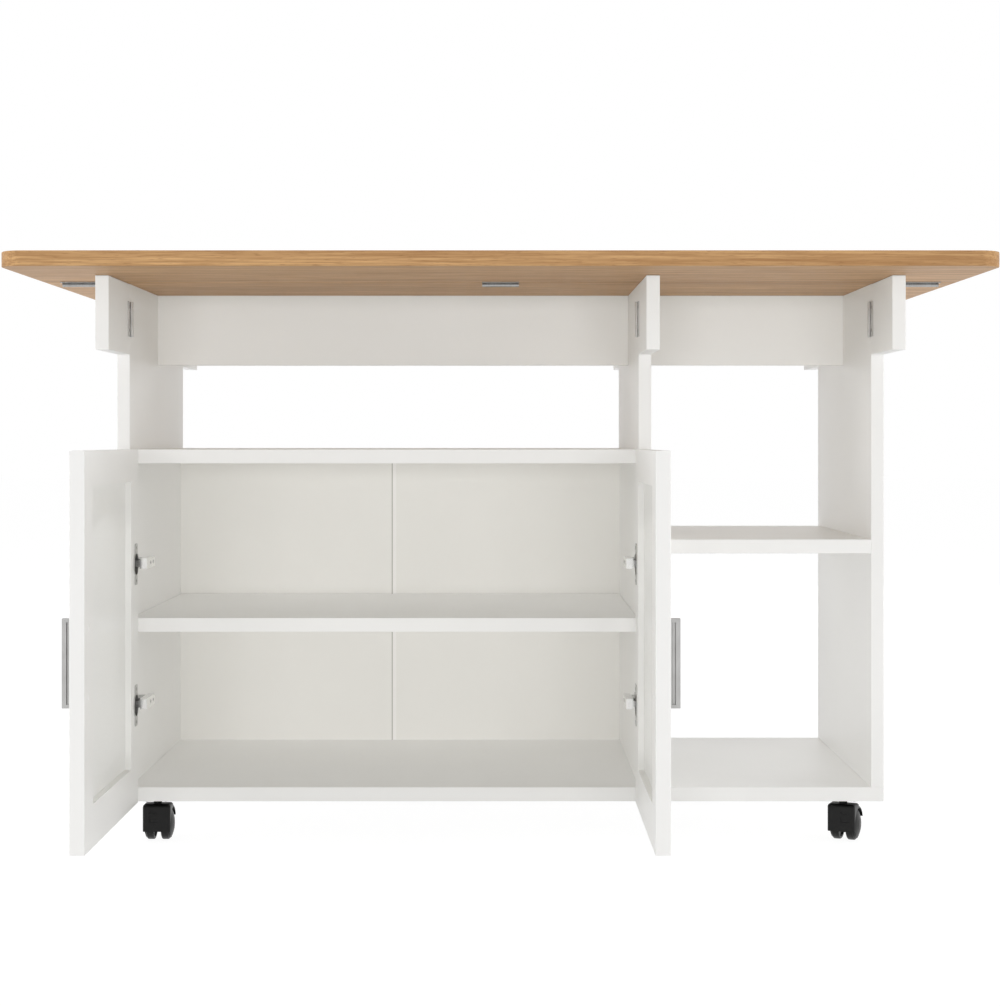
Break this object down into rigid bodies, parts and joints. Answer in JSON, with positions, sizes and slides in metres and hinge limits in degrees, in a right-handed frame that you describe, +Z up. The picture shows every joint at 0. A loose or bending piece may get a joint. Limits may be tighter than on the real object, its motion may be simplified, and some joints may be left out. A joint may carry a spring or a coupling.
{
  "type": "drop leaf kitchen island",
  "caption": "Rolling kitchen island with hinged worktop leaves on swing-out supports, a cabinet with fluted glass doors and open shelving.",
  "frame": {"origin": "on the floor, under the middle of the island as it stands with its doors open and its leaves raised", "axes": "+X to the right along the island, -Y towards the doors, +Z up"},
  "size_m": [1.416, 1.263, 0.9],
  "materials": {
    "oak_worktop": "satin oak grain laminate",
    "white_board": "satin white laminate",
    "back_board": "matte white hardboard",
    "white_strip": "matte white plastic",
    "fluted_glass": "clear, fluted on one side",
    "nickel": "brushed nickel",
    "plated_steel": "nickel-plated steel",
    "caster_steel": "black coated steel",
    "caster_nylon": "satin black nylon"
  },
  "bodies": {
    "body": {"worktop_centre": "oak_worktop", "left_side_panel": "white_board", "right_side_panel": "white_board", "divider_panel": "white_board", "left_apron": "white_board", "right_apron": "white_board", "bottom_board": "white_board", "cabinet_top_board": "white_board", "cabinet_shelf": "white_board", "open_bay_shelf": "white_board", "left_back_panel": "back_board", "right_back_panel": "back_board", "back_joining_strip": "white_strip", "shelf_pins": "plated_steel", "door_hinge_plates": "plated_steel", "door_hinge_arms": "plated_steel", "support_hinge_fixed_leaves": "plated_steel", "worktop_hinge_fixed_leaves": "plated_steel", "caster_plates": "caster_steel"},
    "front_left_swing_support": {"front_left_support": "white_board", "front_left_support_hinge": "plated_steel"},
    "front_centre_swing_support": {"front_centre_support": "white_board", "front_centre_support_hinge": "plated_steel"},
    "front_right_swing_support": {"front_right_support": "white_board", "front_right_support_hinge": "plated_steel"},
    "rear_left_swing_support": {"rear_left_support": "white_board", "rear_left_support_hinge": "plated_steel"},
    "rear_centre_swing_support": {"rear_centre_support": "white_board", "rear_centre_support_hinge": "plated_steel"},
    "rear_right_swing_support": {"rear_right_support": "white_board", "rear_right_support_hinge": "plated_steel"},
    "front_drop_leaf": {"front_leaf": "oak_worktop", "front_leaf_hinge_leaves": "plated_steel"},
    "rear_drop_leaf": {"rear_leaf": "oak_worktop", "rear_leaf_hinge_leaves": "plated_steel"},
    "left_door": {"left_door_frame": "white_board", "left_door_glass": "fluted_glass", "left_door_handle": "nickel", "left_door_hinge_cups": "plated_steel"},
    "right_door": {"right_door_frame": "white_board", "right_door_glass": "fluted_glass", "right_door_handle": "nickel", "right_door_hinge_cups": "plated_steel"},
    "front_left_caster": {"front_left_caster_hood": "caster_nylon", "front_left_caster_axle": "plated_steel"},
    "front_left_outer_wheel": {"front_left_caster_outer_wheel": "caster_nylon"},
    "front_left_inner_wheel": {"front_left_caster_inner_wheel": "caster_nylon"},
    "front_right_caster": {"front_right_caster_hood": "caster_nylon", "front_right_caster_axle": "plated_steel"},
    "front_right_outer_wheel": {"front_right_caster_outer_wheel": "caster_nylon"},
    "front_right_inner_wheel": {"front_right_caster_inner_wheel": "caster_nylon"},
    "rear_left_caster": {"rear_left_caster_hood": "caster_nylon", "rear_left_caster_axle": "plated_steel"},
    "rear_left_outer_wheel": {"rear_left_caster_outer_wheel": "caster_nylon"},
    "rear_left_inner_wheel": {"rear_left_caster_inner_wheel": "caster_nylon"},
    "rear_right_caster": {"rear_right_caster_hood": "caster_nylon", "rear_right_caster_axle": "plated_steel"},
    "rear_right_outer_wheel": {"rear_right_caster_outer_wheel": "caster_nylon"},
    "rear_right_inner_wheel": {"rear_right_caster_inner_wheel": "caster_nylon"}
  },
  "joints": [
    {"name": "front_left_support_swing", "type": "hinge", "parent": "body", "child": "front_left_swing_support", "pos_m": [-0.5771, -0.21975, 0.8225], "axis": [0, 0, 1], "range_deg": [0, 180]},
    {"name": "front_centre_support_swing", "type": "hinge", "parent": "body", "child": "front_centre_swing_support", "pos_m": [0.2131, -0.21975, 0.8225], "axis": [0, 0, -1], "range_deg": [0, 180]},
    {"name": "front_right_support_swing", "type": "hinge", "parent": "body", "child": "front_right_swing_support", "pos_m": [0.5771, -0.21975, 0.8225], "axis": [0, 0, -1], "range_deg": [0, 180]},
    {"name": "rear_left_support_swing", "type": "hinge", "parent": "body", "child": "rear_left_swing_support", "pos_m": [-0.5771, 0.30675, 0.8225], "axis": [0, 0, -1], "range_deg": [0, 180]},
    {"name": "rear_centre_support_swing", "type": "hinge", "parent": "body", "child": "rear_centre_swing_support", "pos_m": [0.2131, 0.30675, 0.8225], "axis": [0, 0, 1], "range_deg": [0, 180]},
    {"name": "rear_right_support_swing", "type": "hinge", "parent": "body", "child": "rear_right_swing_support", "pos_m": [0.5771, 0.30675, 0.8225], "axis": [0, 0, 1], "range_deg": [0, 180]},
    {"name": "front_leaf_hinge", "type": "hinge", "parent": "body", "child": "front_drop_leaf", "pos_m": [0, -0.2435, 0.8745], "axis": [-1, 0, 0], "range_deg": [0, 3]},
    {"name": "rear_leaf_hinge", "type": "hinge", "parent": "body", "child": "rear_drop_leaf", "pos_m": [0, 0.3305, 0.8745], "axis": [1, 0, 0], "range_deg": [0, 3]},
    {"name": "left_door_hinge", "type": "hinge", "parent": "body", "child": "left_door", "pos_m": [-0.577, -0.2335, 0.3435], "axis": [0, 0, 1], "range_deg": [-5, 90]},
    {"name": "right_door_hinge", "type": "hinge", "parent": "body", "child": "right_door", "pos_m": [0.222, -0.2335, 0.3435], "axis": [0, 0, 1], "range_deg": [-90, 5]},
    {"name": "front_left_caster_swivel", "type": "hinge", "parent": "body", "child": "front_left_caster", "pos_m": [-0.542, -0.1855, 0.062], "axis": [0, 0, 1], "continuous": true},
    {"name": "front_left_outer_wheel_spin", "type": "hinge", "parent": "front_left_caster", "child": "front_left_outer_wheel", "pos_m": [-0.542, -0.1715, 0.025], "axis": [1, 0, 0], "continuous": true},
    {"name": "front_left_inner_wheel_spin", "type": "hinge", "parent": "front_left_caster", "child": "front_left_inner_wheel", "pos_m": [-0.542, -0.1715, 0.025], "axis": [1, 0, 0], "continuous": true},
    {"name": "front_right_caster_swivel", "type": "hinge", "parent": "body", "child": "front_right_caster", "pos_m": [0.542, -0.1855, 0.062], "axis": [0, 0, 1], "continuous": true},
    {"name": "front_right_outer_wheel_spin", "type": "hinge", "parent": "front_right_caster", "child": "front_right_outer_wheel", "pos_m": [0.54769, -0.17271, 0.025], "axis": [0.9135, -0.4067, 0], "continuous": true},
    {"name": "front_right_inner_wheel_spin", "type": "hinge", "parent": "front_right_caster", "child": "front_right_inner_wheel", "pos_m": [0.54769, -0.17271, 0.025], "axis": [0.9135, -0.4067, 0], "continuous": true},
    {"name": "rear_left_caster_swivel", "type": "hinge", "parent": "body", "child": "rear_left_caster", "pos_m": [-0.542, 0.2725, 0.062], "axis": [0, 0, 1], "continuous": true},
    {"name": "rear_left_outer_wheel_spin", "type": "hinge", "parent": "rear_left_caster", "child": "rear_left_outer_wheel", "pos_m": [-0.54679, 0.25934, 0.025], "axis": [-0.9397, 0.342, 0], "continuous": true},
    {"name": "rear_left_inner_wheel_spin", "type": "hinge", "parent": "rear_left_caster", "child": "rear_left_inner_wheel", "pos_m": [-0.54679, 0.25934, 0.025], "axis": [-0.9397, 0.342, 0], "continuous": true},
    {"name": "rear_right_caster_swivel", "type": "hinge", "parent": "body", "child": "rear_right_caster", "pos_m": [0.542, 0.2725, 0.062], "axis": [0, 0, 1], "continuous": true},
    {"name": "rear_right_outer_wheel_spin", "type": "hinge", "parent": "rear_right_caster", "child": "rear_right_outer_wheel", "pos_m": [0.54792, 0.25981, 0.025], "axis": [-0.9063, -0.4226, 0], "continuous": true},
    {"name": "rear_right_inner_wheel_spin", "type": "hinge", "parent": "rear_right_caster", "child": "rear_right_inner_wheel", "pos_m": [0.54792, 0.25981, 0.025], "axis": [-0.9063, -0.4226, 0], "continuous": true}
  ]
}
